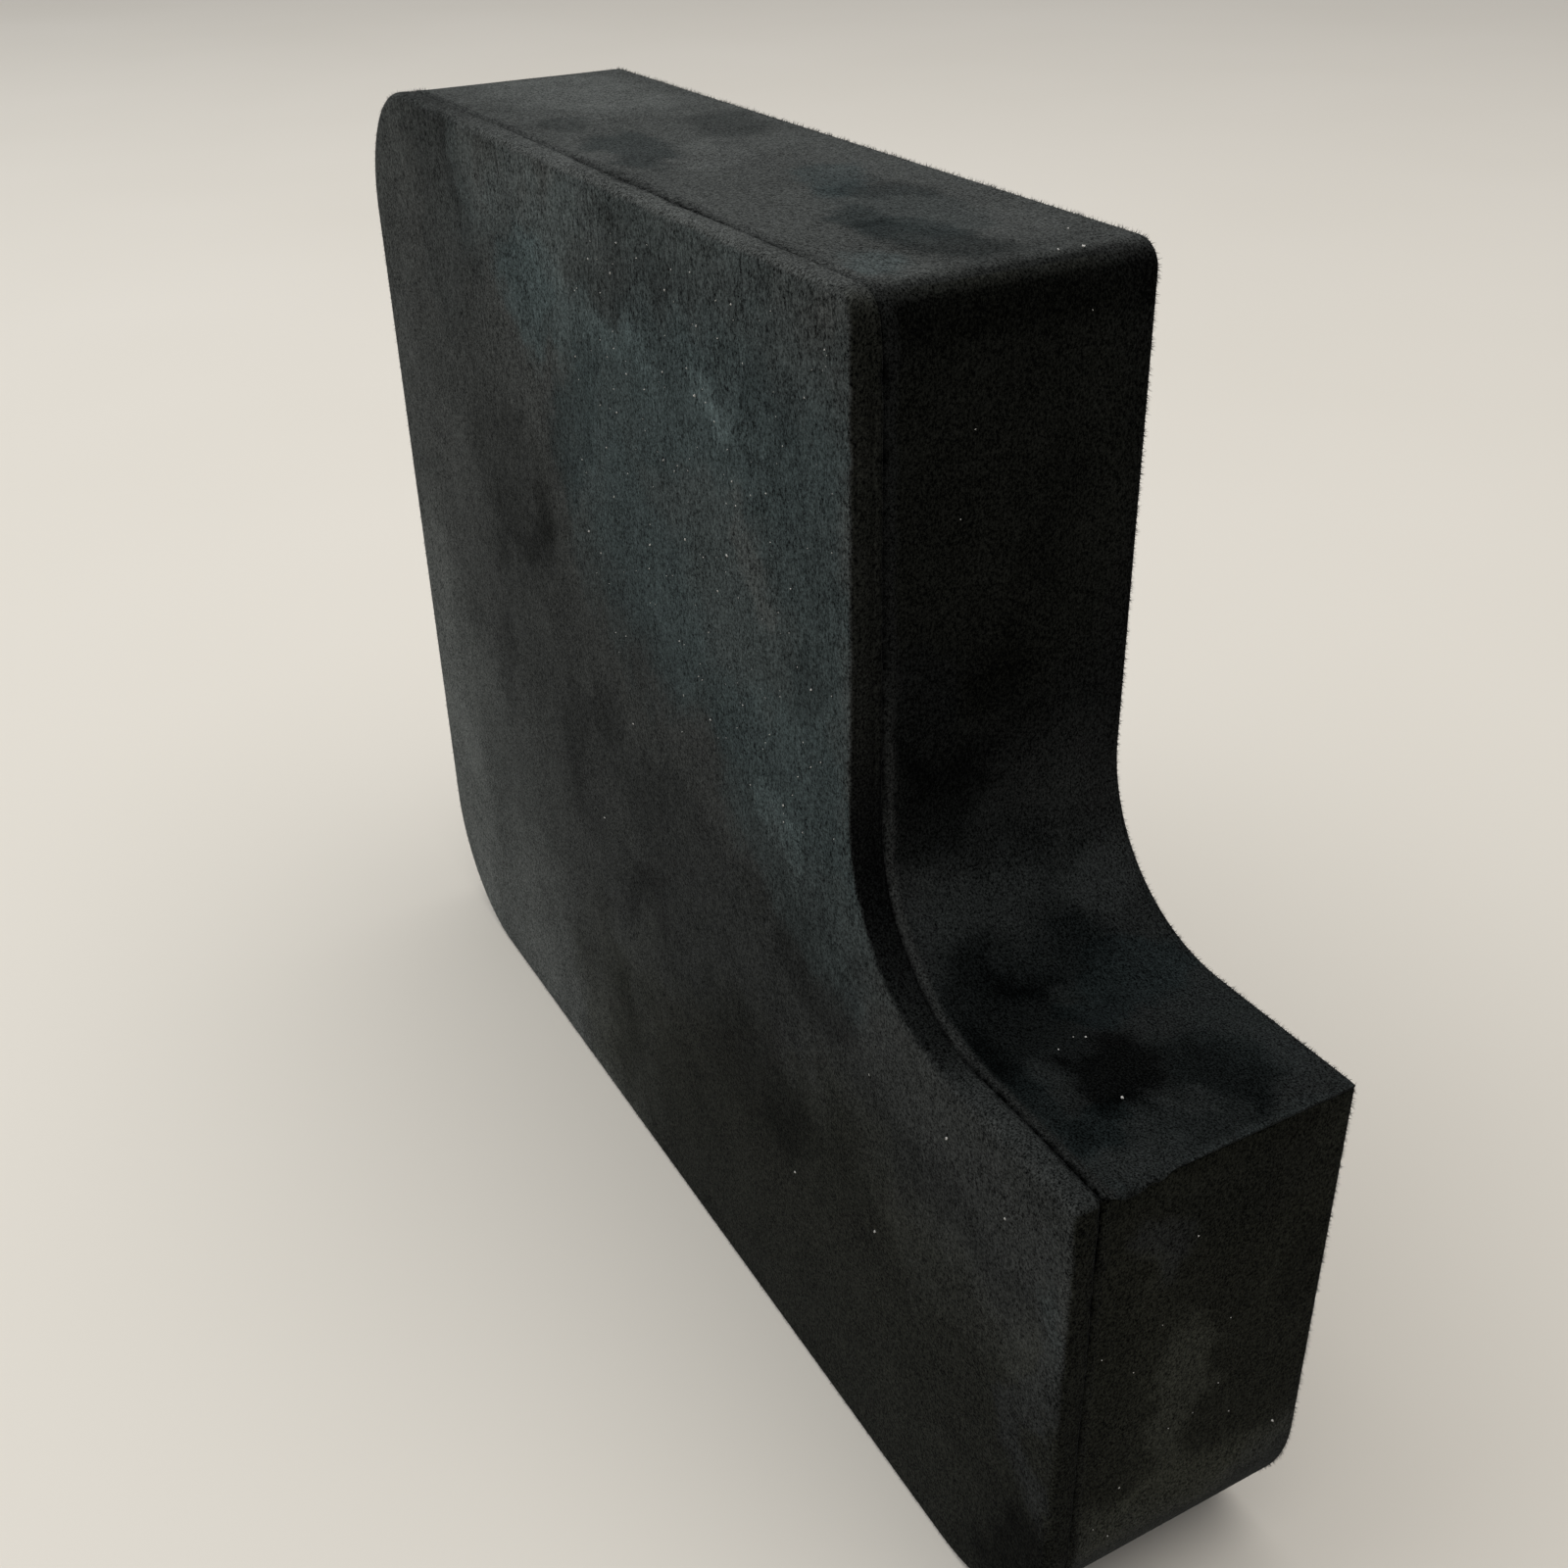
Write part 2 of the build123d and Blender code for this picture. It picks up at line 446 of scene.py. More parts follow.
def face_points(ring):
    """Points of a triangular grid inside a closed ring, and how far each is from it."""
    rows = []
    row_step = FACE_SPACING * math.sqrt(3) / 2
    for j, z in enumerate(np.arange(BOTTOM, TOP, row_step)):
        xs = np.arange(LEFT + 0.5 * FACE_SPACING * (j % 2), RIGHT, FACE_SPACING)
        rows.append(np.column_stack([xs, np.full(len(xs), z)]))
    points = np.vstack(rows)
    x, z = points.T
    inside = np.zeros(len(points), bool)
    distance = np.full(len(points), np.inf)
    for (x0, z0), (x1, z1) in zip(ring, ring[1:] + ring[:1]):
        if z0 != z1:
            inside ^= ((z < z0) != (z < z1)) & (x < x0 + (z - z0) * (x1 - x0) / (z1 - z0))
        distance = np.minimum(distance, np.hypot(x - x0, z - z0))
    keep = inside & (distance > CLEAR_OF_RING)
    return points[keep], distance[keep]


def triangulate_face(ring, inner_points):
    """Triangles over a closed ring and points inside it, as indices into the ring and then the points."""
    coords = [Vector((x / MM, z / MM)) for x, z in list(ring) + list(inner_points)]
    count = len(ring)
    edges = [(i, (i + 1) % count) for i in range(count)]
    _, _, faces, origins, _, _ = delaunay_2d_cdt(coords, edges, [], 1, 1e-6)
    return [[origins[i][0] for i in face] for face in faces]


def flat_places(points):
    """The x and z of points."""
    return [(point[0], point[2]) for point in points]


# Rolled edge of the cloth at a seam, as (distance from the seam, depth, painted shade), the first two in mm
SEAM_ROLL = [
    (0, 0.6, 1), (0.012, 0.46, 0.95), (0.16, 0.27, 0.78), (0.4, 0.11, 0.48), (0.7, 0.03, 0.2), (0.95, 0, 0),
]
ROLL_WIDTH = SEAM_ROLL[-1][0]
# Strength of the painted shade in a seam of full depth
SEAM_SHADE = 1.6
# Swelling of the lip behind it, as (distance from the seam in mm, share of the lip's height)
LIP = [(1.15, 0.9), (1.45, 0.75), (1.9, 0.3), (2.5, 0.0)]
MARGIN_ROWS = 4
MARGIN_SWELL = 0.06 * MM
FOLD_ROWS = 6
# Depth of the cloth's inner corner under a wide fold, as a share of the fold's radius
UNDER_FOLD = 0.37
# Places where the margin is eased over a corner and stands proud, as (x, z, reach, height), in mm
EASED_PLACES = [(-118, 205, 10, 0.45), (-131, 190, 9, 0.2), (75, 175, 45, 0.35), (73.3, 211.1, 1.6, 1.1)]
# How far that height has gone at the fold's end, as a share
EASE_FADE = 0.6


def eased_height(station):
    """How far the front margin stands proud where the cloth is eased over a corner."""
    height = 0.0
    for x, z, reach, peak in EASED_PLACES:
        gap = math.hypot(station.x / MM - x, station.z / MM - z)
        height += peak * MM * math.exp(-((gap / reach) ** 2))
    return height


def seam_shade(shade, depth):
    """Painted shade in a seam that is depth times as deep as the cloth's own roll."""
    return min(1.0, SEAM_SHADE * shade * depth)


def make_front_cover(name, material):
    """Face cloth with its margin folded over the front edge as far as the seam."""
    stations = trace_outline(COVER_STEP_RADIUS)
    count = len(stations)
    cloth = Cloth()
    tones = [station.value(MARGIN_TONES) for station in stations]
    folds = [station.value(FOLD_RADII) * MM for station in stations]
    openings = [seam_opening(station) * MM for station in stations]
    for v, roll_depth, shade in SEAM_ROLL:
        for station, tone, opening in zip(stations, tones, openings):
            share = seam_depth(station)
            depth = roll_depth * (share if v > 0 else 1)
            place = station.point(depth * MM, seam_y(station) - v * opening)
            cloth.add(place, SEAM_WEAR, seam_shade(shade, share), tone, 1.0)
    for i in range(MARGIN_ROWS):
        share = (i + 1) / (MARGIN_ROWS + 1)
        for station, tone, fold, opening in zip(stations, tones, folds, openings):
            start = seam_y(station) - ROLL_WIDTH * opening
            y = start + (fold - FACE - start) * share
            swell = MARGIN_SWELL * math.sin(math.pi * share) + eased_height(station) * share
            swell += station.waves(MARGIN_RELIEF, y) * MM
            shade = max(0.0, station.value(MARGIN_SHADES) - share)
            cloth.add(station.point(-swell, y), MARGIN_WEAR * (1 + share), shade, tone, 1.0)
    for i in range(FOLD_ROWS):
        share = i / (FOLD_ROWS - 1)
        angle = math.pi / 2 * share
        for station, tone, fold in zip(stations, tones, folds):
            depth = fold * (1 - math.cos(angle)) - eased_height(station) * (1 - EASE_FADE * share)
            y = -(FACE - fold + fold * math.sin(angle))
            ragged = station.value(FOLD_WRAPS) + station.waves(FOLD_RAGS)
            own = table_value([(ragged, 1.0), (ragged + FOLD_BLUR, 0.0)], share)
            cloth.add(station.point(depth, y), FRONT_FOLD_WEAR, 0.0, tone, own)
    rows = len(SEAM_ROLL) + MARGIN_ROWS + FOLD_ROWS
    cloth.close_rings(rows, count)
    cloth.faces = [face[::-1] for face in cloth.faces]
    cloth.fill_face((rows - 1) * count, -1, FRONT_RELIEF, FRONT_EDGE_WEAR)

    back = len(cloth.points)
    for station, fold in zip(stations, folds):
        under = max(CLOTH_THICKNESS, UNDER_FOLD * fold)
        # The underside under the fold is painted fully in shade
        cloth.add(station.point(under, -(FACE - under)), 0.0, 1.0)
    for i in range(count):
        j = (i + 1) % count
        cloth.faces.append((j, back + j, back + i, i))
    cloth.cap(back, count, True)

    places = np.asarray(cloth.points)
    shift_x, shift_z = clouds(places, *FRONT_CLOUDS)
    across, up = places[:, 0] + shift_x, places[:, 2] + shift_z
    light, cool = stroke_field(across, up, FRONT_STROKES, FRONT_BLUR)
    above, _ = stroke_field(across, up + MM, FRONT_STROKES, FRONT_BLUR)
    below, _ = stroke_field(across, up - MM, FRONT_STROKES, FRONT_BLUR)
    slope = np.abs(above - below) / (2 * MM) * COMB_REACH
    combed = table_values(COMBED, places[:, 2])
    own_cool = np.zeros(len(places))
    own_cool[:rows * count] = np.tile([station.value(MARGIN_COOLS) for station in stations], rows)
    return cloth.finish(name, material, COVER_TONE + light, cool, own_cool, slope, combed)


def make_rear_cover(name, material):
    """Flat cloth on the back, inside the band's turned margin, with a rolled edge."""
    stations = trace_outline(REAR_STEP_RADIUS, REAR_MARGIN)
    count = len(stations)
    cloth = Cloth()
    for v, roll_depth, shade in SEAM_ROLL:
        depth = roll_depth * (REAR_DEPTH if v > 0 else 1)
        for station in stations:
            place = station.point(REAR_OPENING * v * MM, FACE - depth * MM)
            cloth.add(place, SEAM_WEAR, seam_shade(shade, REAR_DEPTH))
    cloth.close_rings(len(SEAM_ROLL), count)
    cloth.fill_face((len(SEAM_ROLL) - 1) * count, 1, REAR_RELIEF, REAR_EDGE_WEAR)
    cloth.cap(0, count, False)
    places = np.asarray(cloth.points)
    shift_x, shift_z = clouds(places, *FRONT_CLOUDS)
    light, cool = stroke_field(shift_x - places[:, 0], shift_z + TOP - places[:, 2], FRONT_STROKES, FRONT_BLUR)
    return cloth.finish(name, material, COVER_TONE + REAR_CONTRAST * light, cool)


BAND_COLUMNS = 40
REAR_MARGIN_ROWS = 3
OVERHANG_ROWS = 6
MITRE_LENGTH = 20 * MM
SHORTEST_REACH = 0.3 * MM
CORNER_GAP = 0.2 * MM
# Most of a short reach that its fold and its rolled edge may take up
FOLD_PART = 0.5
ROLL_PART = 0.2


def rear_reach(station):
    """How far the band's rear margin runs onto the back at a station. It is mitred at the step's outer edge."""
    reach = REAR_MARGIN
    if station.distance < MITRE_LENGTH:
        reach = STEP_TOP - station.z
    elif station.distance > OUTLINE_LENGTH * MM - MITRE_LENGTH:
        reach = RIGHT - station.x
    elif abs(station.distance - TOP_FINISH * MM) < UPPER_RIGHT_RADIUS:
        reach = UPPER_RIGHT_RADIUS - CORNER_GAP
    return min(REAR_MARGIN, max(SHORTEST_REACH, reach))


# A point of the band's cross-section: y and depth of its outer and inner surface, and its looks
BandPoint = namedtuple("BandPoint", "y depth inner_y inner_depth wear crevice tone_share", defaults=(0.0, 0.0, 0.0))


def band_section(station):
    """Cross-section of the band at a station, from the front seam over the rear edge to the rear seam."""
    lip = station.value(LIP_HEIGHTS) * MM * (1 + station.waves(LIP_RIPPLE))
    edge = seam_y(station)
    opening = seam_opening(station)
    section = []
    share = seam_depth(station)
    for v, roll_depth, shade in SEAM_ROLL[1:]:
        y = edge + v * opening * MM
        crevice = seam_shade(shade, share)
        section.append(BandPoint(y, roll_depth * share * MM, y, CLOTH_THICKNESS, BAND_SEAM_WEAR, crevice, 1.0))
    for v, share in LIP:
        y = edge + (v + ROLL_WIDTH * (opening - 1)) * MM
        section.append(BandPoint(y, -lip * share, y, CLOTH_THICKNESS, LIP_WEAR * share, 0.0, share))
    start = section[-1].y
    finish = FACE - FOLD_RADIUS
    for i in range(1, BAND_COLUMNS):
        y = start + (finish - start) * i / BAND_COLUMNS
        section.append(BandPoint(y, -station.waves(BAND_RELIEF, y) * MM, y, CLOTH_THICKNESS))
    reach = rear_reach(station)
    fold = min(FOLD_RADIUS, FOLD_PART * reach)
    turn = math.acos(1 - fold / FOLD_RADIUS)
    for i in range(FOLD_ROWS):
        angle = turn * i / (FOLD_ROWS - 1)
        y = FACE - FOLD_RADIUS * (1 - math.sin(angle))
        depth = FOLD_RADIUS * (1 - math.cos(angle))
        inner_depth = depth + CLOTH_THICKNESS * math.cos(angle)
        section.append(BandPoint(y, depth, y - CLOTH_THICKNESS * math.sin(angle), inner_depth, REAR_FOLD_WEAR))
    back = FACE - FOLD_RADIUS * (1 - math.sin(turn))
    under = back - CLOTH_THICKNESS
    roll = min(REAR_OPENING * ROLL_WIDTH * MM, ROLL_PART * reach)
    for i in range(1, REAR_MARGIN_ROWS + 1):
        depth = fold + (reach - roll - fold) * i / REAR_MARGIN_ROWS
        section.append(BandPoint(back, depth, under, depth, REAR_MARGIN_WEAR))
    for v, roll_depth, shade in reversed(SEAM_ROLL[1:-1]):
        depth = reach - roll * v / ROLL_WIDTH
        y = back - roll_depth * REAR_DEPTH * MM
        section.append(BandPoint(y, depth, under, depth, SEAM_WEAR, seam_shade(shade, REAR_DEPTH)))
    return section


def overhang_place(y, row):
    """Place and normal, in x and z, of the band's upper end where it droops over the step's outer edge."""
    free = table_value(OVERHANGS, y / MM) * (1 + waves(y, 0, 0, OVERHANG_RAGS))
    along = max(SHORTEST_OVERHANG, free) * MM * row / OVERHANG_ROWS
    bend = min(along / OVERHANG_RADIUS, STEEPEST_DROOP)
    normal = Vector((math.sin(bend), math.cos(bend)))
    place = Vector((RIGHT, STEP_TOP - OVERHANG_RADIUS)) + normal * OVERHANG_RADIUS
    place += Vector((math.cos(bend), -math.sin(bend))) * (along - bend * OVERHANG_RADIUS)
    return place, normal


def make_band(name, material):
    """Strip of cloth round the edge. Its upper end runs on over the step's outer edge and droops."""
    stations = trace_outline(0.0)
    cloth = Cloth()
    rows = []
    distances = []

    def add_rows(section, outer, inner, distance, wear):
        tone = table_value(LIP_TONES, distance / MM)
        start = len(cloth.points)
        for band_point, place in zip(section, outer):
            cloth.add(place, max(wear, band_point.wear), band_point.crevice, tone, band_point.tone_share)
        for place in inner:
            # The band's inner surface is painted fully in shade
            cloth.add(place, 0.0, 1.0)
        distances.extend([distance] * (len(outer) + len(inner)))
        rows.append((range(start, start + len(outer)), range(start + len(outer), len(cloth.points))))

    for index, station in enumerate(stations):
        section = band_section(station)
        wear = 0.0
        if index == 0:
            station = station._replace(z=station.z - CLOTH_THICKNESS - JOINT_GAP)
            wear = CUT_WEAR
        outer = [station.point(p.depth, p.y) for p in section]
        inner = [station.point(p.inner_depth, p.inner_y) for p in section]
        add_rows(section, outer, inner, station.distance, wear)
    last = stations[-1]
    section = band_section(last)
    for row in range(1, OVERHANG_ROWS + 1):
        outer, inner = [], []
        for p in section:
            place, normal = overhang_place(p.y, row)
            top = place - normal * p.depth
            under = place - normal * p.inner_depth
            outer.append((top.x, p.y, top.y))
            inner.append((under.x, p.inner_y, under.y))
        wear = OVERHANG_WEAR + OVERHANG_WEAR_RISE * row / OVERHANG_ROWS
        add_rows(section, outer, inner, last.distance, wear)

    width = len(section)
    for (outer, inner), (next_outer, next_inner) in zip(rows, rows[1:]):
        for j in range(width - 1):
            cloth.faces.append((outer[j], next_outer[j], next_outer[j + 1], outer[j + 1]))
            cloth.faces.append((inner[j], inner[j + 1], next_inner[j + 1], next_inner[j]))
        cloth.faces.append((outer[0], inner[0], next_inner[0], next_outer[0]))
        cloth.faces.append((outer[-1], next_outer[-1], next_inner[-1], inner[-1]))
    for (outer, inner), a, b in ((rows[0], 0, 1), (rows[-1], 1, 0)):
        for j in range(width - 1):
            cloth.faces.append((outer[j + a], outer[j + b], inner[j + b], inner[j + a]))

    light, cool = band_nap(np.asarray(cloth.points), np.asarray(distances))
    return cloth.finish(name, material, light, cool, table_values(LIP_COOLS, distances))


def band_nap(places, distances):
    """Lightness and coolness of the band's nap, from the strokes of each side that it covers."""
    x, y, z = places.T
    shift, other_shift = clouds(places, *BAND_CLOUDS)
    light, cool = np.zeros(len(x)), np.zeros(len(x))
    on_top = (distances > TOP_START * MM) & (distances < TOP_FINISH * MM)
    on_step = distances >= TOP_FINISH * MM
    on_low_end = distances < LOW_END_FOOT * MM
    for mask, across, up, strokes in (
        (on_top, x, y, TOP_STROKES),
        (on_step, y, distances - TOP_FINISH * MM, STEP_STROKES),
        (on_low_end, y, z, LOW_STROKES),
    ):
        light[mask], cool[mask] = stroke_field((across + shift)[mask], (up + other_shift)[mask], strokes, BAND_BLUR)
    return light + table_values(BAND_TONES, distances), cool


FOAM_EDGE_RADIUS = 0.8 * MM
FOAM_GAP = 0.05 * MM
FOAM_EDGE_ROWS = 4
FOAM_MIDDLE_ROWS = 12


def make_foam_body(name, material):
    """The cut foam inside the cloth, a closed slab with softened edges."""
    stations = trace_outline(COVER_STEP_RADIUS)
    count = len(stations)
    soft = FOAM_EDGE_RADIUS
    under = CLOTH_THICKNESS + FOAM_GAP
    half = FACE - under
    turns = [math.pi / 2 * i / (FOAM_EDGE_ROWS - 1) for i in range(FOAM_EDGE_ROWS)]
    edge = [(under + soft * (1 - math.cos(turn)), half - soft + soft * math.sin(turn)) for turn in turns]
    profile = [(depth, -y) for depth, y in reversed(edge)]
    profile += [(under, (half - soft) * (2 * i / FOAM_MIDDLE_ROWS - 1)) for i in range(1, FOAM_MIDDLE_ROWS)]
    profile += edge
    foam = Cloth()
    for depth, y in profile:
        for station in stations:
            foam.add(station.point(depth, y))
    foam.close_rings(len(profile), count)
    foam.cap(0, count, False)
    foam.cap((len(profile) - 1) * count, count, True)
    return new_piece(name, foam.points, foam.faces, material)


# Loose fibres of the nap, and lint on it

NAP_LIE = np.array((0.1, 0.0, -1.0))
# Fibres to a square mm, and what wear adds to their number, length and width
FIBRES_EVEN = 0.3
FIBRES_AT_WEAR = 16.0
LONGER_AT_WEAR = 0.6
WIDER_AT_WEAR = 2.5
FIBRE_LENGTHS = (0.25 * MM, 0.7 * MM)
FIBRE_WIDTHS = (0.025 * MM, 0.045 * MM)
FIBRE_ROOT = 0.05 * MM
# How far fibres of even nap stand up, how far they scatter, and the least that one stands up
FIBRE_LIFT = 0.3
FIBRE_SCATTER = 0.4
LOWEST_LIFT = 0.1
FIBRE_SHADE_SPREAD = 0.15
# Painted shade above which a place is inside the block
HIDDEN_SHADE = 0.95
CLEAR_OF_FLOOR = 0.15 * MM
# Strays on the front, by x and z, and hanging from the top fold, by x and depth, in mm
STRAY_COUNT = 260
STRAY_REGION = ((-55.0, 70.0), (50.0, 207.0))
STRAY_LIFT = 0.06 * MM
HANGING_COUNT = 420
HANGING_REGION = ((-105.0, 71.0), (0.5, 1.8))
HANGING_ROOT = 0.1 * MM
STRAY_LENGTHS = (0.8 * MM, 2.4 * MM)
STRAY_WIDTHS = (0.035 * MM, 0.06 * MM)
STRAY_SCATTER = 0.5
STRAY_SHADES = (0.5, 1.2)

# Lint, as two places in mm and a radius in mm
# On the front, in x and z
FRONT_LINT = [
    (1.0, 204.0, 0.22), (18.6, 200.4, 0.20), (-11.4, 198.8, 0.16), (-2.4, 198.4, 0.18), (27.6, 186.0, 0.22),
    (1.4, 182.4, 0.20), (-21.8, 160.0, 0.18), (-8.0, 157.4, 0.16), (21.2, 159.6, 0.20), (36.6, 162.4, 0.24),
    (-21.4, 146.0, 0.18), (-7.0, 111.4, 0.20), (-26.2, 79.8, 0.18), (54.0, 45.4, 0.20), (82.2, 54.8, 0.20),
    (102.6, 91.8, 0.22), (118.0, 88.4, 0.22), (80.2, 87.8, 0.18), (32.6, 154.8, 0.16), (6.6, 153.4, 0.16),
]
# On the top, in x and y
TOP_LINT = [(62.3, 18.2, 0.16), (71.5, 13.9, 0.24), (71.0, 10.0, 0.16)]
# On the tall end, in y and z
TALL_LINT = [(-7.3, 177.8, 0.12), (-5.3, 190.7, 0.11), (13.8, 204.3, 0.13)]
# On the step, in x and y
STEP_LINT = [(118.5, -6.1, 0.26), (103.8, -3.8, 0.13), (104.8, -2.2, 0.12), (105.1, -7.5, 0.13)]
# On the low end, in y and z
LOW_LINT = [
    (19.8, 33.5, 0.28), (-12.2, 37.4, 0.15), (-16.7, 30.2, 0.11), (-13.5, 26.5, 0.12), (-2.5, 86.7, 0.12),
    (-7.3, 71.0, 0.10), (-18.4, 69.8, 0.09), (-12.0, 63.5, 0.09), (6.6, 64.9, 0.09), (6.0, 50.7, 0.10),
    (-3.4, 45.8, 0.09), (1.4, 46.5, 0.09), (9.3, 42.2, 0.10),
]
# Finer specks on the front, in x and z
SPECK_COUNT = 150
SPECK_REGION = ((-25.0, 70.0), (120.0, 207.0))
SPECK_RADII = (0.06, 0.13)
LINT_STRETCH = (0.55, 1.5)
LINT_ROUGHNESS = 0.25


def unit(vectors):
    """Vectors scaled to length one."""
    return vectors / np.linalg.norm(vectors, axis=1, keepdims=True)


SPIKE_POINTS = 4
SPIKE_FACES = np.array([(0, 2, 1), (0, 1, 3), (1, 2, 3), (2, 0, 3)])
# Direction that sets how the spikes' sides are turned
SPIKE_TURN = np.array([[0.31, 0.52, 0.80]])


def spikes(roots, directions, lengths, widths):
    """Points and faces of thin closed spikes, each with three sides."""
    across = unit(np.cross(directions, unit(SPIKE_TURN)))
    upright = np.cross(directions, across)
    points = np.empty((len(roots), SPIKE_POINTS, 3))
    for i in range(3):
        angle = 2 * math.pi * i / 3
        out = across * math.cos(angle) + upright * math.sin(angle)
        points[:, i] = roots + out * widths[:, None] / 2
    points[:, 3] = roots + directions * lengths[:, None]
    faces = (np.arange(len(roots)) * SPIKE_POINTS)[:, None, None] + SPIKE_FACES[None]
    return points.reshape(-1, 3), faces.reshape(-1, 3)


def point_values(mesh, name):
    """The values of a float attribute of a mesh's points."""
    values = np.empty(len(mesh.vertices), dtype=np.float32)
    mesh.attributes[name].data.foreach_get("value", values)
    return values


def make_fuzz(name, cloth, material, seed):
    """Loose fibres over a cloth's outside, thickest on its folds, lips and cut edges."""
    random = np.random.default_rng(seed)
    mesh = cloth.data
    mesh.calc_loop_triangles()
    corners = np.array([triangle.vertices for triangle in mesh.loop_triangles])
    places = np.array([vertex.co for vertex in mesh.vertices])
    a, b, c = (places[corners[:, i]] for i in range(3))
    normals = np.cross(b - a, c - a)
    areas = np.linalg.norm(normals, axis=1) / 2
    wear = point_values(mesh, "wear")[corners].mean(axis=1)
    tone = point_values(mesh, "tone")[corners].mean(axis=1)
    hidden = point_values(mesh, "crevice")[corners].max(axis=1) > HIDDEN_SHADE
    weight = areas / MM**2 * (FIBRES_EVEN + FIBRES_AT_WEAR * wear**2)
    weight[hidden | (areas < 1e-12)] = 0
    chosen = random.choice(len(weight), size=round(weight.sum()), p=weight / weight.sum())
    s, t = np.sqrt(random.random(len(chosen)))[:, None], random.random(len(chosen))[:, None]
    normal = unit(normals[chosen])
    roots = a[chosen] * (1 - s) + b[chosen] * s * (1 - t) + c[chosen] * s * t - normal * FIBRE_ROOT
    worn = wear[chosen][:, None]
    lie = NAP_LIE - (normal @ NAP_LIE)[:, None] * normal
    scatter = random.normal(0, FIBRE_SCATTER, roots.shape)
    directions = unit(lie * (1 - worn) + normal * (FIBRE_LIFT + (1 - FIBRE_LIFT) * worn) + scatter)
    lengths = random.uniform(*FIBRE_LENGTHS, len(chosen)) * (1 + LONGER_AT_WEAR * worn[:, 0])
    lifted = (directions * normal).sum(axis=1) > LOWEST_LIFT
    keep = lifted & (roots[:, 2] + directions[:, 2] * lengths > CLEAR_OF_FLOOR)
    widths = random.uniform(*FIBRE_WIDTHS, keep.sum()) * (1 + WIDER_AT_WEAR * worn[keep, 0])
    points, faces = spikes(roots[keep], directions[keep], lengths[keep], widths)
    shade = np.repeat(tone[chosen][keep] + random.normal(0, FIBRE_SHADE_SPREAD, keep.sum()), SPIKE_POINTS)
    return new_piece(name, points, faces, material, {"tone": shade})


def make_strays(name, material):
    """Longer fibres that lie on the front, or hang over it from the top fold."""
    random = np.random.default_rng(23)
    x, z = (random.uniform(*limits, STRAY_COUNT) * MM for limits in STRAY_REGION)
    roots = np.column_stack([x, np.full(STRAY_COUNT, -FACE - STRAY_LIFT), z])
    x, depth = (random.uniform(*limits, HANGING_COUNT) * MM for limits in HANGING_REGION)
    hanging = np.column_stack([x, np.full(HANGING_COUNT, -FACE + HANGING_ROOT), TOP - depth])
    roots = np.vstack([roots, hanging])
    directions = random.normal(0, STRAY_SCATTER, roots.shape) + NAP_LIE
    directions[:, 1] = -LOWEST_LIFT
    lengths, widths = (random.uniform(*limits, len(roots)) for limits in (STRAY_LENGTHS, STRAY_WIDTHS))
    points, faces = spikes(roots, unit(directions), lengths, widths)
    shade = np.repeat(random.uniform(*STRAY_SHADES, len(roots)), SPIKE_POINTS)
    return new_piece(name, points, faces, material, {"tone": shade})


def make_lint(name, material):
    """Small irregular bits of lint that lie on the cloth."""
    random = np.random.default_rng(41)
    seats = [((x, -FACE / MM, z), r) for x, z, r in FRONT_LINT]
    seats += [((x, y, TOP / MM), r) for x, y, r in TOP_LINT]
    seats += [((TALL_END / MM, y, z), r) for y, z, r in TALL_LINT]
    seats += [((x, y, STEP_TOP / MM), r) for x, y, r in STEP_LINT]
    seats += [((RIGHT / MM, y, z), r) for y, z, r in LOW_LINT]
    for _ in range(SPECK_COUNT):
        x, z = (random.uniform(*limits) for limits in SPECK_REGION)
        seats.append(((x, -FACE / MM, z), random.uniform(*SPECK_RADII)))
    form = bmesh.new()
    bmesh.ops.create_icosphere(form, subdivisions=2, radius=1.0)
    ball = np.array([vertex.co for vertex in form.verts])
    ball_faces = np.array([[vertex.index for vertex in face.verts] for face in form.faces])
    form.free()
    points, faces = [], []
    for index, (place, radius) in enumerate(seats):
        turn = np.linalg.qr(random.normal(size=(3, 3)))[0]
        shape = ball * random.uniform(*LINT_STRETCH, 3)
        shape *= 1 + LINT_ROUGHNESS * random.normal(size=(len(ball), 1))
        points.append((shape @ turn * radius + np.array(place)) * MM)
        faces.append(ball_faces + index * len(ball))
    return new_piece(name, np.vstack(points), np.vstack(faces), material)


# Materials

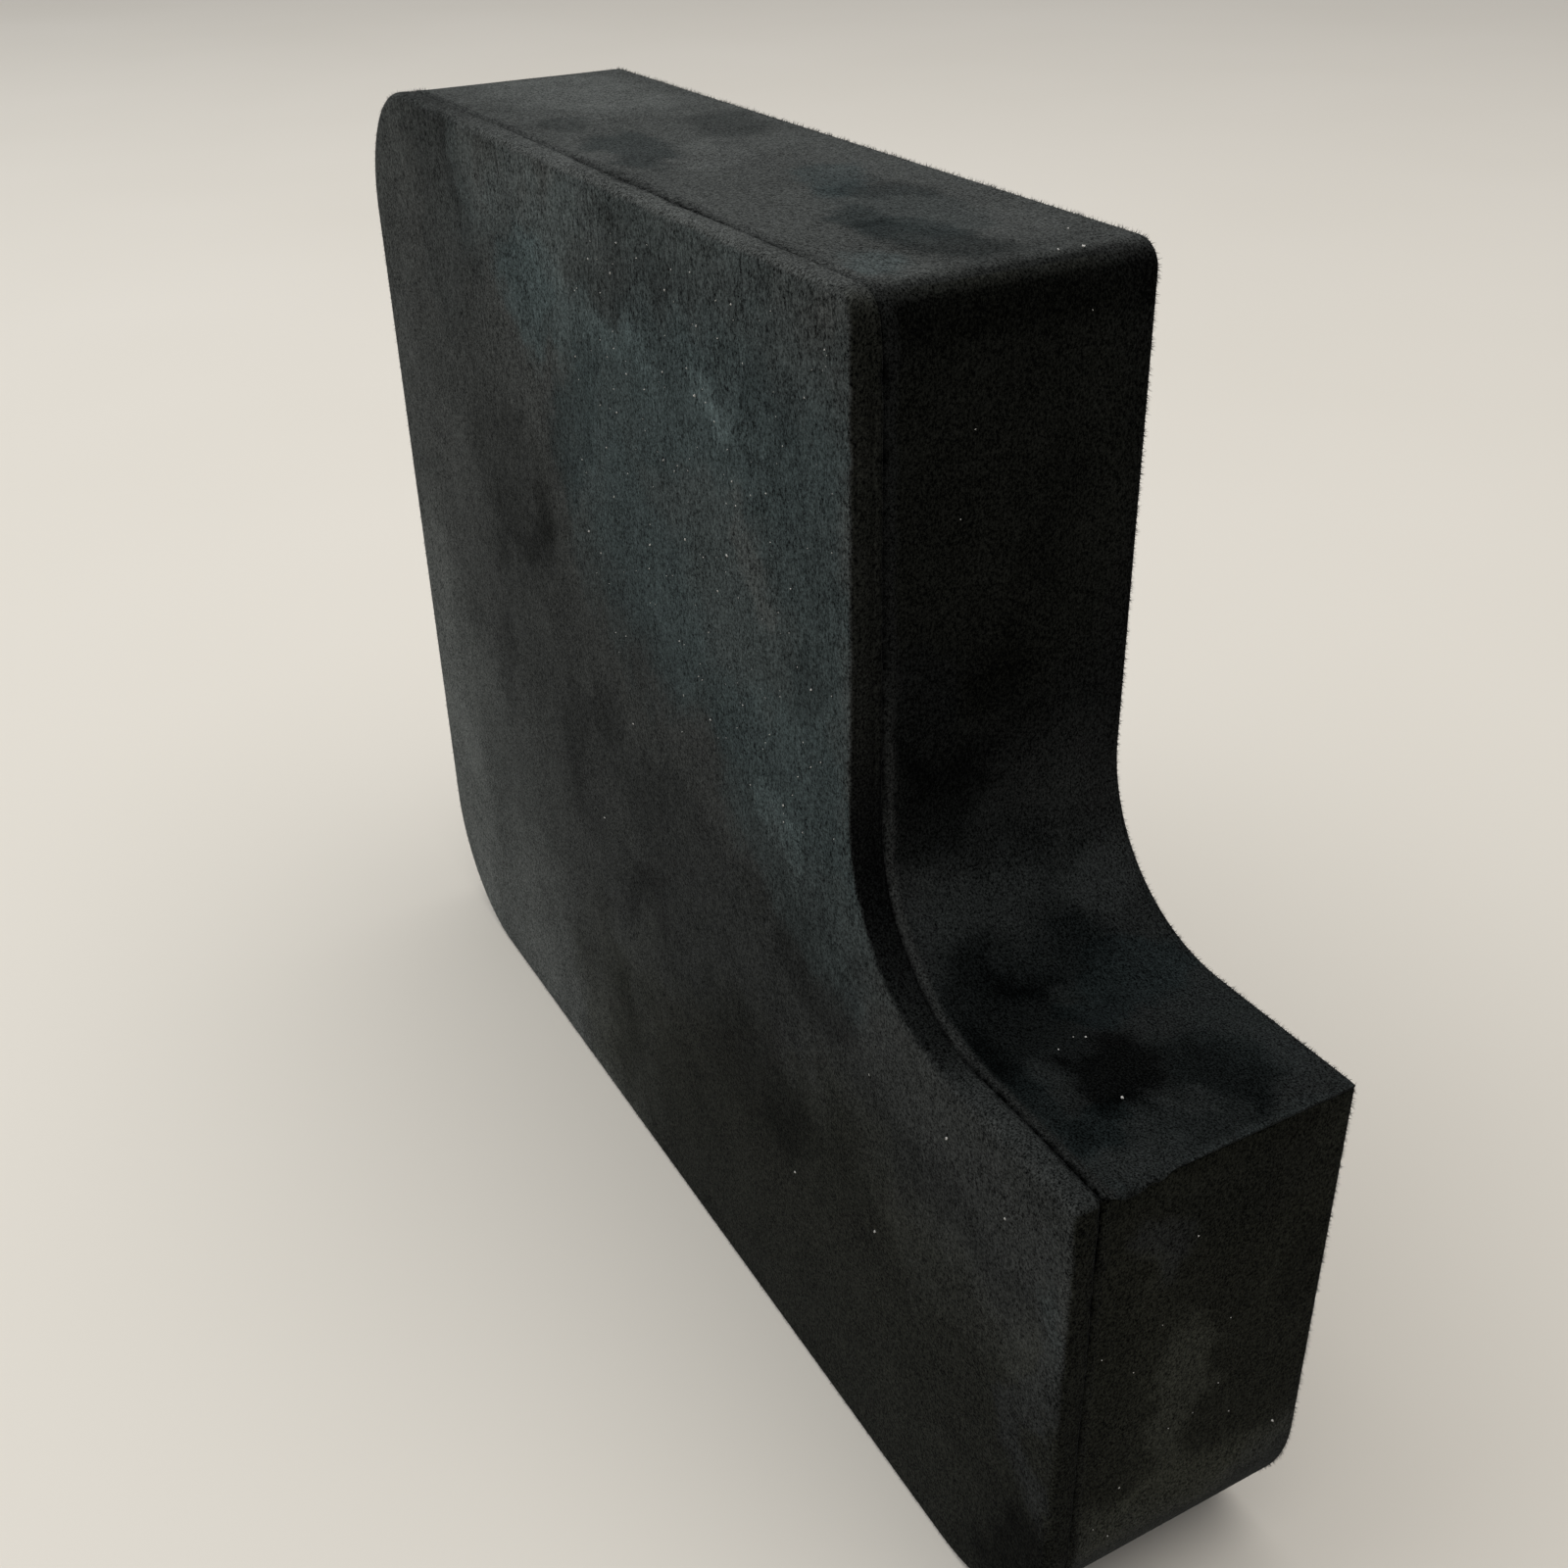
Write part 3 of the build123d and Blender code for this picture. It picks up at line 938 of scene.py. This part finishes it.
class Nodes:
    """Small helper for building a material's node tree."""

    def __init__(self, name):
        self.material = bpy.data.materials.new(name)
        self.material.use_nodes = True
        self.tree = self.material.node_tree
        self.shader = self.tree.nodes["Principled BSDF"]

    def add(self, kind, **settings):
        node = self.tree.nodes.new(kind)
        for key, value in settings.items():
            setattr(node, key, value)
        return node

    def link(self, source, target):
        self.tree.links.new(source, target)

    def set(self, socket, value):
        if isinstance(value, bpy.types.NodeSocket):
            self.link(value, socket)
        else:
            socket.default_value = value

    def coords(self, scale):
        """Object coordinates, scaled along each axis."""
        texture = self.add("ShaderNodeTexCoord")
        mapping = self.add("ShaderNodeMapping")
        self.link(texture.outputs["Object"], mapping.inputs["Vector"])
        mapping.inputs["Scale"].default_value = scale
        return mapping.outputs["Vector"]

    def noise(self, scale, detail=3.0, roughness=0.55):
        """Noise with the given number of features per metre along each axis, centred on zero."""
        texture = self.add("ShaderNodeTexNoise")
        self.link(self.coords(scale), texture.inputs["Vector"])
        texture.inputs["Scale"].default_value = 1.0
        texture.inputs["Detail"].default_value = detail
        texture.inputs["Roughness"].default_value = roughness
        return self.math("SUBTRACT", texture.outputs["Fac"], 0.5)

    def math(self, operation, a, b=None, c=None, clamp=False):
        node = self.add("ShaderNodeMath", operation=operation, use_clamp=clamp)
        for socket, value in zip(node.inputs, (a, b, c)):
            if value is not None:
                self.set(socket, value)
        return node.outputs[0]

    def range(self, value, low, high):
        """From 0 at low to 1 at high, smoothly."""
        node = self.add("ShaderNodeMapRange", interpolation_type="SMOOTHSTEP")
        for key, number in (("Value", value), ("From Min", low), ("From Max", high)):
            self.set(node.inputs[key], number)
        return node.outputs[0]

    def mix(self, factor, a, b):
        """From colour a to colour b. Sockets 6, 7 and 2 are the node's colours."""
        node = self.add("ShaderNodeMix", data_type="RGBA")
        for key, value in (("Factor", factor), (6, a), (7, b)):
            self.set(node.inputs[key], value)
        return node.outputs[2]

    def attribute(self, name):
        node = self.add("ShaderNodeAttribute", attribute_name=name)
        return node.outputs["Fac"]

    def surface(self, base, roughness, specular=0.5):
        """The surface's base colour and plain values."""
        self.link(base, self.shader.inputs["Base Color"])
        self.shader.inputs["Roughness"].default_value = roughness
        self.shader.inputs["Specular IOR Level"].default_value = specular

    def bump(self, height, distance, strength):
        node = self.add("ShaderNodeBump")
        node.inputs["Strength"].default_value = strength
        node.inputs["Distance"].default_value = distance
        self.link(height, node.inputs["Height"])
        self.link(node.outputs["Normal"], self.shader.inputs["Normal"])


def colour(red, green, blue):
    return (red, green, blue, 1.0)


# The nap's plain, cool and warm colours. The cool and warm tints are partly the nap's own and partly painted tints
# of cool daylight and warm light bounced from the floor
NAP_LIGHT = colour(0.044, 0.0467, 0.0446)
NAP_COOL = colour(0.0375, 0.0488, 0.0492)
NAP_WARM = colour(0.047, 0.0485, 0.037)
FIBRE_DARK, FIBRE_LIGHT = colour(0.003, 0.003, 0.003), colour(0.058, 0.062, 0.062)
# The tone at which a fibre is lightest
FIBRE_LIGHTEST = 1.4
LINT_DARK, LINT_LIGHT = colour(0.30, 0.29, 0.27), colour(0.62, 0.61, 0.58)
FOAM_DARK, FOAM_LIGHT = colour(0.045, 0.045, 0.05), colour(0.09, 0.09, 0.095)
# Distances from a foam cell's edge where its wall ends and its hollow begins
FOAM_WALL = (0.02, 0.25)
FLOOR_DARK, FLOOR_LIGHT = colour(0.62, 0.585, 0.52), colour(0.66, 0.625, 0.565)
SHEEN = {"Sheen Weight": 0.04, "Sheen Roughness": 0.3, "Sheen Tint": colour(0.96, 0.99, 1.0)}
# The value of the cool attribute at which the nap is warmest
WARMEST = -0.7
# How far streaks, clumps of pile and flecks change the nap's tone, as shares of it
STREAKS = 1.8
CLUMPS = 4.8
CLUMPS_AT_WEAR = 2.0
FLECKS = 1.2
# How far clumps change dark nap as well
EVEN_CLUMPS = 0.4
# Least values of the strokes' tone, of its unevenness and of both together
LEAST_STROKES = 0.01
LEAST_SHARE = 0.08
LEAST_TONE = 0.02
# How dark the seams' painted shade is, and how ragged, as the noise's strength and middle
SEAM_DARKNESS = 0.92
SEAM_RAGS = (2.6, 0.85)


def suede_material(name):
    """Napped suede. The attributes set how light it is and how cool: the pile's lie, with painted light and shade
    on some faces and painted shade in the seams.
    """
    n = Nodes(name)
    mottle = n.noise((55, 55, 55), detail=5, roughness=0.62)
    streaks = n.noise((1700, 1700, 520), detail=2)
    clumps = n.noise((2890, 2950, 2210), detail=3, roughness=0.75)
    flecks = n.noise((1310, 1270, 1180), detail=2, roughness=0.7)
    rags = n.noise((800, 800, 800), detail=2)
    fine = n.noise((2600, 2600, 2600), detail=1)
    uneven = n.math("ADD", mottle, 1.0)
    uneven = n.math("MULTIPLY_ADD", n.math("MULTIPLY", streaks, n.attribute("combed")), STREAKS, uneven)
    worn_clumps = n.math("MULTIPLY_ADD", n.attribute("wear"), CLUMPS_AT_WEAR, CLUMPS)
    uneven = n.math("MULTIPLY_ADD", clumps, worn_clumps, uneven)
    uneven = n.math("MULTIPLY_ADD", flecks, FLECKS, uneven)
    # Painted shade in the seams and on the cloth's hidden inner surfaces darkens the tone
    crevice = n.math("MULTIPLY", n.attribute("crevice"), n.math("MULTIPLY_ADD", rags, *SEAM_RAGS), clamp=True)
    shade = n.math("SUBTRACT", 1.0, n.math("MULTIPLY", crevice, SEAM_DARKNESS))
    tone = n.math("MULTIPLY_ADD", streaks, n.attribute("slope"), n.attribute("tone"))
    tone = n.math("MULTIPLY", n.math("MAXIMUM", tone, LEAST_STROKES), n.math("MAXIMUM", uneven, LEAST_SHARE))
    tone = n.math("MAXIMUM", n.math("MULTIPLY_ADD", clumps, EVEN_CLUMPS, tone), LEAST_TONE)
    tone = n.math("MULTIPLY", tone, shade)
    tint = n.mix(n.range(n.attribute("cool"), 0.0, 1.0), NAP_LIGHT, NAP_COOL)
    tint = n.mix(n.range(n.attribute("cool"), 0.0, WARMEST), tint, NAP_WARM)
    scale = n.add("ShaderNodeVectorMath", operation="SCALE")
    n.link(tint, scale.inputs[0])
    n.link(tone, scale.inputs["Scale"])
    n.surface(scale.outputs[0], roughness=0.95, specular=0.0)
    for key, value in SHEEN.items():
        n.shader.inputs[key].default_value = value
    n.bump(fine, distance=0.3 * MM, strength=0.5)
    return n.material


def fibre_material(name):
    """Loose fibres, about as light as the nap under them, its painted light and shade included."""
    n = Nodes(name)
    tone = n.range(n.attribute("tone"), 0.0, FIBRE_LIGHTEST)
    n.surface(n.mix(tone, FIBRE_DARK, FIBRE_LIGHT), roughness=0.9, specular=0.1)
    return n.material


def lint_material(name):
    """Pale lint."""
    n = Nodes(name)
    speckle = n.math("ADD", n.noise((9000, 9000, 9000), detail=1), 0.5)
    n.surface(n.mix(speckle, LINT_DARK, LINT_LIGHT), roughness=0.95)
    n.bump(speckle, distance=0.05 * MM, strength=0.5)
    return n.material


def foam_material(name):
    """Closed-cell foam: small cells with thin walls."""
    n = Nodes(name)
    cells = n.add("ShaderNodeTexVoronoi", feature="DISTANCE_TO_EDGE")
    n.link(n.coords((1400, 1400, 1400)), cells.inputs["Vector"])
    cells.inputs["Scale"].default_value = 1.0
    hollow = n.range(cells.outputs["Distance"], *FOAM_WALL)
    n.surface(n.mix(hollow, FOAM_LIGHT, FOAM_DARK), roughness=0.85)
    n.bump(hollow, distance=0.2 * MM, strength=0.6)
    return n.material


def floor_material(name):
    """Plain pale studio floor."""
    n = Nodes(name)
    drift = n.math("ADD", n.noise((3, 3, 3), detail=2), 0.5)
    n.surface(n.mix(drift, FLOOR_DARK, FLOOR_LIGHT), roughness=0.9, specular=0.1)
    return n.material


# Stage

FLOOR_SIZE = 8.0


def make_floor():
    size = FLOOR_SIZE
    points = [(-size, -size, 0), (size, -size, 0), (size, size, 0), (-size, size, 0)]
    new_piece("floor", points, [(0, 1, 2, 3)], floor_material("floor"))


def make_camera():
    data = bpy.data.cameras.new("camera")
    data.sensor_width = SENSOR_WIDTH
    data.lens = FOCAL_LENGTH
    data.clip_start = CLIP_START
    camera = bpy.data.objects.new("camera", data)
    camera.matrix_world = Matrix.Translation(CAMERA_PLACE)
    for angle, axis in ((CAMERA_AZIMUTH, "Z"), (math.pi / 2 - CAMERA_ELEVATION, "X"), (CAMERA_ROLL, "Z")):
        camera.matrix_world @= Matrix.Rotation(angle, 4, axis)
    bpy.context.collection.objects.link(camera)
    bpy.context.scene.camera = camera


LAMP_AIM = Vector((0, 0, 0.1))
WORLD_COLOUR = colour(0.98, 0.98, 1.0)
WORLD_STRENGTH = 0.5


def make_lamp(name, place, size, power, tint):
    data = bpy.data.lights.new(name, "AREA")
    data.shape = "DISK"
    data.size = size
    data.energy = power
    data.color = tint
    lamp = bpy.data.objects.new(name, data)
    lamp.location = place
    lamp.rotation_euler = (LAMP_AIM - Vector(place)).to_track_quat("-Z", "Y").to_euler()
    bpy.context.collection.objects.link(lamp)


def make_light():
    make_lamp("key", place=(-1.0, -1.3, 1.9), size=2.4, power=29, tint=(0.95, 0.98, 1.0))
    make_lamp("overhead", place=(0.3, 0.2, 2.3), size=2.4, power=30, tint=(1.0, 0.98, 0.95))
    world = bpy.data.worlds.new("world")
    bpy.context.scene.world = world
    world.use_nodes = True
    background = world.node_tree.nodes["Background"]
    background.inputs["Color"].default_value = WORLD_COLOUR
    background.inputs["Strength"].default_value = WORLD_STRENGTH


bpy.context.scene.view_settings.view_transform = "Standard"

suede = suede_material("suede")
nap_fibre = fibre_material("nap_fibre")
front_cover = make_front_cover("front_cover_cloth", suede)
rear_cover = make_rear_cover("rear_cover_cloth", suede)
edge_band = make_band("edge_band_cloth", suede)
foam_body = make_foam_body("foam_body", foam_material("foam"))
front_fuzz = make_fuzz("front_cover_fuzz", front_cover, nap_fibre, 7)
rear_fuzz = make_fuzz("rear_cover_fuzz", rear_cover, nap_fibre, 11)
band_fuzz = make_fuzz("edge_band_fuzz", edge_band, nap_fibre, 19)
strays = make_strays("stray_fibres", nap_fibre)
lint = make_lint("lint", lint_material("lint"))

for piece, node, slot in (
    (front_cover, "front_cover", "suede"),
    (rear_cover, "rear_cover", "suede"),
    (edge_band, "edge_band", "suede"),
    (foam_body, "foam_core", "foam"),
):
    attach(piece, "root")
    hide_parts(node)
for piece in (front_fuzz, rear_fuzz, band_fuzz, strays, lint):
    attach(piece, "root")

make_floor()
make_camera()
make_light()
